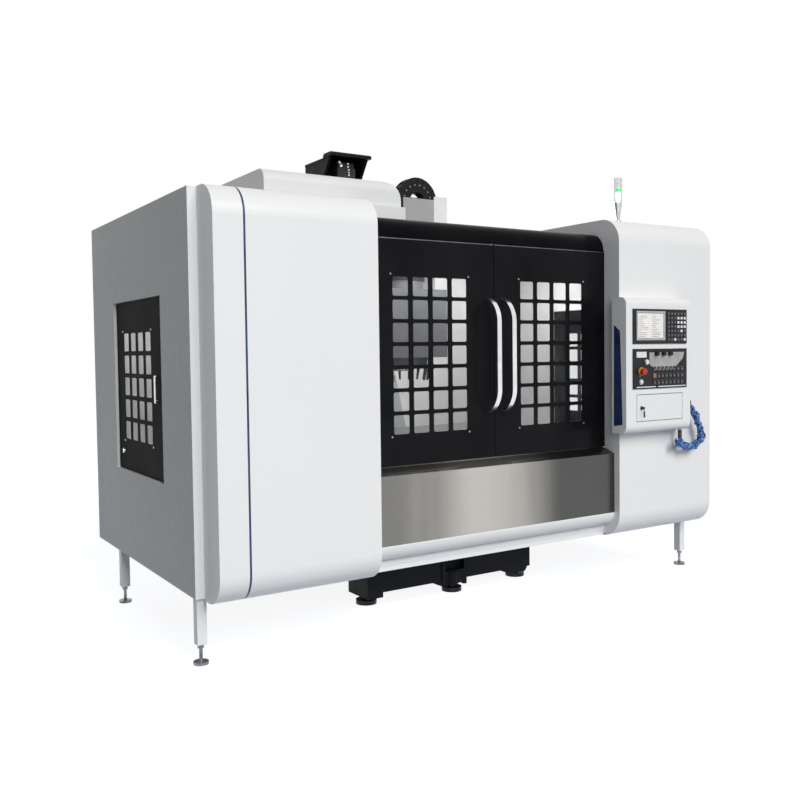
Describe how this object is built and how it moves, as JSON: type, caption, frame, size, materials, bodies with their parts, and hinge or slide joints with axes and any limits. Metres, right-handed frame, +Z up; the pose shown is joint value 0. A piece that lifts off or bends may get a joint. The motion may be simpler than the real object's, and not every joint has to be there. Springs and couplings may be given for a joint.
{
  "type": "cnc vertical machining center",
  "caption": "Enclosed vertical machining centre with sliding windowed front doors, swing side doors, moving table, saddle and head, tool changer, and a front control box.",
  "frame": {"origin": "middle of the floor under the machine's outline", "axes": "+X to the operator's right, +Y to the rear, +Z up"},
  "size_m": [3.623, 2.86, 2.983],
  "materials": {
    "cast_black": "black machine enamel",
    "zinc": "dull zinc",
    "casting_grey": "grey machine enamel",
    "ground_steel": "ground steel",
    "white_paint": "white powder coat, satin",
    "black_gloss": "black gloss paint",
    "stainless": "brushed stainless sheet",
    "pan_grey": "galvanised sheet",
    "navy": "navy trim",
    "lamp_grey": "light grey plastic",
    "lamp_green": "clear lens over a green light",
    "motor_black": "black motor enamel",
    "chain_black": "black nylon",
    "sheet_grey": "grey sheet",
    "saddle_grey": "grey enamel",
    "table_iron": "ground cast iron",
    "pane": "clear polycarbonate",
    "bright_bar": "satin aluminium",
    "panel_black": "black control panel",
    "red_button": "red push button",
    "button_white": "white push button",
    "hose_black": "black conduit",
    "pot_grey": "grey tool pots"
  },
  "bodies": {
    "machine": {"base_casting": "cast_black", "levelling_feet": "zinc", "column": "casting_grey", "guide_rails": "ground_steel", "left_side_panel": "white_paint", "right_side_panel": "white_paint", "left_cowl": "white_paint", "right_cowl": "white_paint", "door_head": "black_gloss", "apron": "stainless", "front_skirt": "white_paint", "chip_pan": "pan_grey", "roof_hood": "white_paint", "rear_panels": "white_paint", "roof_panels": "white_paint", "cowl_stripe": "navy", "enclosure_legs": "white_paint", "lamp_stem": "lamp_grey", "lamp_lens": "lamp_green", "z_motor_seat": "cast_black", "axis_motors": "motor_black", "cable_chain": "chain_black", "chain_guard": "sheet_grey", "electrical_cabinet": "white_paint", "hose_elbow": "chain_black", "control_hose": "hose_black", "magazine_frame": "sheet_grey", "pendant_housing": "white_paint", "display_unit": "panel_black", "operator_unit": "panel_black"},
    "saddle": {"saddle": "saddle_grey", "x_motor": "motor_black"},
    "table": {"table": "table_iron"},
    "head": {"headstock": "casting_grey", "spindle_motor": "motor_black", "coolant_nozzles": "chain_black"},
    "spindle": {"spindle": "ground_steel"},
    "x_screw": {"x_screw": "ground_steel"},
    "y_screw": {"y_screw": "ground_steel"},
    "z_screw": {"z_screw": "ground_steel"},
    "left_door": {"left_door": "black_gloss", "left_door_glass": "pane", "left_handle": "bright_bar"},
    "right_door": {"right_door": "black_gloss", "right_door_glass": "pane", "right_handle": "bright_bar"},
    "left_side_door": {"left_side_door": "black_gloss", "left_side_glass": "pane"},
    "right_side_door": {"right_side_door": "black_gloss", "right_side_glass": "pane"},
    "tool_disc": {"tool_disc": "pot_grey"},
    "arm_shaft": {"arm_shaft": "ground_steel"},
    "tool_arm": {"tool_arm": "ground_steel"},
    "locker_door": {"locker_door": "white_paint"},
    "emergency_stop": {"emergency_stop": "red_button"},
    "mode_knob": {"mode_knob": "chain_black"},
    "feed_knob": {"feed_knob": "chain_black"},
    "speed_knob": {"speed_knob": "chain_black"},
    "start_button": {"start_button": "button_white"},
    "stop_button": {"stop_button": "button_white"}
  },
  "joints": [
    {"name": "saddle_slide", "type": "slide", "parent": "machine", "child": "saddle", "axis": [0, 1, 0], "range_m": [-0.4, 0.4]},
    {"name": "table_slide", "type": "slide", "parent": "saddle", "child": "table", "axis": [1, 0, 0], "range_m": [-0.75, 0.75]},
    {"name": "head_slide", "type": "slide", "parent": "machine", "child": "head", "axis": [0, 0, 1], "range_m": [-0.3, 0.4], "deforming": ["cable_chain"]},
    {"name": "spindle_turn", "type": "hinge", "parent": "head", "child": "spindle", "pos_m": [0, -0.17, 1.4], "axis": [0, 0, 1], "continuous": true},
    {"name": "x_screw_turn", "type": "hinge", "parent": "saddle", "child": "x_screw", "pos_m": [0, -0.17, 0.785], "axis": [1, 0, 0], "continuous": true},
    {"name": "y_screw_turn", "type": "hinge", "parent": "machine", "child": "y_screw", "pos_m": [0, -0.17, 0.55], "axis": [0, 1, 0], "continuous": true},
    {"name": "z_screw_turn", "type": "hinge", "parent": "machine", "child": "z_screw", "pos_m": [0, 0.645, 1.8], "axis": [0, 0, 1], "continuous": true},
    {"name": "left_door_slide", "type": "slide", "parent": "machine", "child": "left_door", "axis": [-1, 0, 0], "range_m": [0, 0.77]},
    {"name": "right_door_slide", "type": "slide", "parent": "machine", "child": "right_door", "axis": [1, 0, 0], "range_m": [0, 0.77]},
    {"name": "left_side_door_swing", "type": "hinge", "parent": "machine", "child": "left_side_door", "pos_m": [-1.7745, 0.24299, 1.346], "axis": [0, 0, -1], "range_deg": [0, 100]},
    {"name": "right_side_door_swing", "type": "hinge", "parent": "machine", "child": "right_side_door", "pos_m": [1.7745, 0.24299, 1.346], "axis": [0, 0, 1], "range_deg": [0, 100]},
    {"name": "tool_disc_turn", "type": "hinge", "parent": "machine", "child": "tool_disc", "pos_m": [-0.755, -0.17, 1.96], "axis": [1, 0, 0], "continuous": true},
    {"name": "arm_plunge", "type": "slide", "parent": "machine", "child": "arm_shaft", "axis": [0, 0, 1], "range_m": [-0.115, 0]},
    {"name": "arm_turn", "type": "hinge", "parent": "arm_shaft", "child": "tool_arm", "pos_m": [-0.38, -0.17, 1.365], "axis": [0, 0, 1], "range_deg": [0, 270]},
    {"name": "locker_door_swing", "type": "hinge", "parent": "machine", "child": "locker_door", "pos_m": [1.3395, -1.396, 1.162], "axis": [0, 0, 1], "range_deg": [0, 110]},
    {"name": "emergency_stop_press", "type": "slide", "parent": "machine", "child": "emergency_stop", "axis": [0, 1, 0], "range_m": [0, 0.006]},
    {"name": "mode_knob_turn", "type": "hinge", "parent": "machine", "child": "mode_knob", "pos_m": [1.0855, -1.409, 1.498], "axis": [0, -1, 0], "range_deg": [-135, 135]},
    {"name": "feed_knob_turn", "type": "hinge", "parent": "machine", "child": "feed_knob", "pos_m": [1.1495, -1.409, 1.498], "axis": [0, -1, 0], "range_deg": [-135, 135]},
    {"name": "speed_knob_turn", "type": "hinge", "parent": "machine", "child": "speed_knob", "pos_m": [1.2095, -1.409, 1.498], "axis": [0, -1, 0], "range_deg": [-135, 135]},
    {"name": "start_button_press", "type": "slide", "parent": "machine", "child": "start_button", "axis": [0, 1, 0], "range_m": [0, 0.004], "stiffness_N_per_m": 600},
    {"name": "stop_button_press", "type": "slide", "parent": "machine", "child": "stop_button", "axis": [0, 1, 0], "range_m": [0, 0.004], "stiffness_N_per_m": 600}
  ],
  "couplings": [
    {"joint": "x_screw_turn", "follows": "table_slide", "rad_per_m": 392.7},
    {"joint": "y_screw_turn", "follows": "saddle_slide", "rad_per_m": 392.7},
    {"joint": "z_screw_turn", "follows": "head_slide", "rad_per_m": 392.7}
  ]
}
